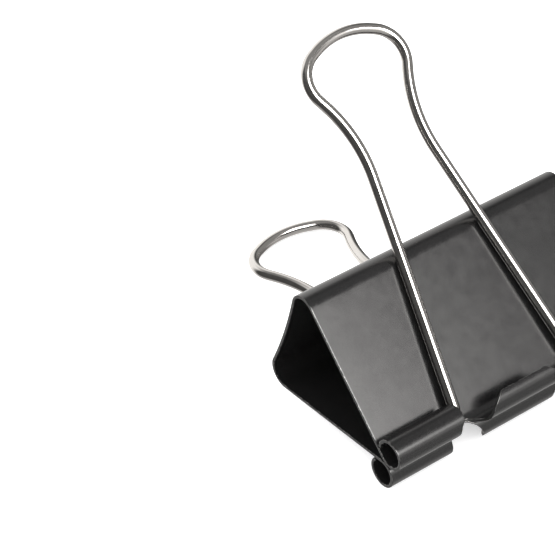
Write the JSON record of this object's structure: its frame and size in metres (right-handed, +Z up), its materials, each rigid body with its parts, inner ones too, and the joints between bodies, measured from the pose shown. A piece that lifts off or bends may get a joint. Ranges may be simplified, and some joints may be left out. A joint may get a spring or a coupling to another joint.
{
  "type": "binder clip",
  "caption": "Large black spring-steel binder clip, a triangular channel with rolled jaw edges and wire handles folded back along both faces.",
  "frame": {"origin": "on the table under the middle of the clip's overall box", "axes": "+X along the clip's width, +Y from the jaw towards the handle tips, +Z up; the clip lies on its back rolls and its back handle"},
  "size_m": [0.051, 0.0658, 0.0518],
  "materials": {
    "lacquered_steel": "semi-gloss black lacquer",
    "plated_wire": "bright plated"
  },
  "bodies": {
    "spine": {"spine": "lacquered_steel"},
    "front_leaf": {"front_leaf": "lacquered_steel"},
    "back_leaf": {"back_leaf": "lacquered_steel"},
    "front_handle": {"front_handle": "plated_wire"},
    "back_handle": {"back_handle": "plated_wire"}
  },
  "joints": [
    {"name": "front_leaf_flex", "type": "hinge", "parent": "spine", "child": "front_leaf", "pos_m": [0, -0.00913, 0.02467], "axis": [-1, 0, 0], "range_deg": [0, 27], "stiffness_Nm_per_rad": 2},
    {"name": "back_leaf_flex", "type": "hinge", "parent": "spine", "child": "back_leaf", "pos_m": [0, -0.00117, 0.00453], "axis": [1, 0, 0], "range_deg": [0, 27], "stiffness_Nm_per_rad": 2},
    {"name": "front_handle_swing", "type": "hinge", "parent": "front_leaf", "child": "front_handle", "pos_m": [0, -0.02955, 0.00745], "axis": [1, 0, 0], "range_deg": [0, 156]},
    {"name": "back_handle_swing", "type": "hinge", "parent": "back_leaf", "child": "back_handle", "pos_m": [0, -0.02874, 0.00292], "axis": [-1, 0, 0], "range_deg": [0, 156]}
  ],
  "couplings": [
    {"joint": "back_leaf_flex", "follows": "front_leaf_flex", "ratio": 1}
  ]
}
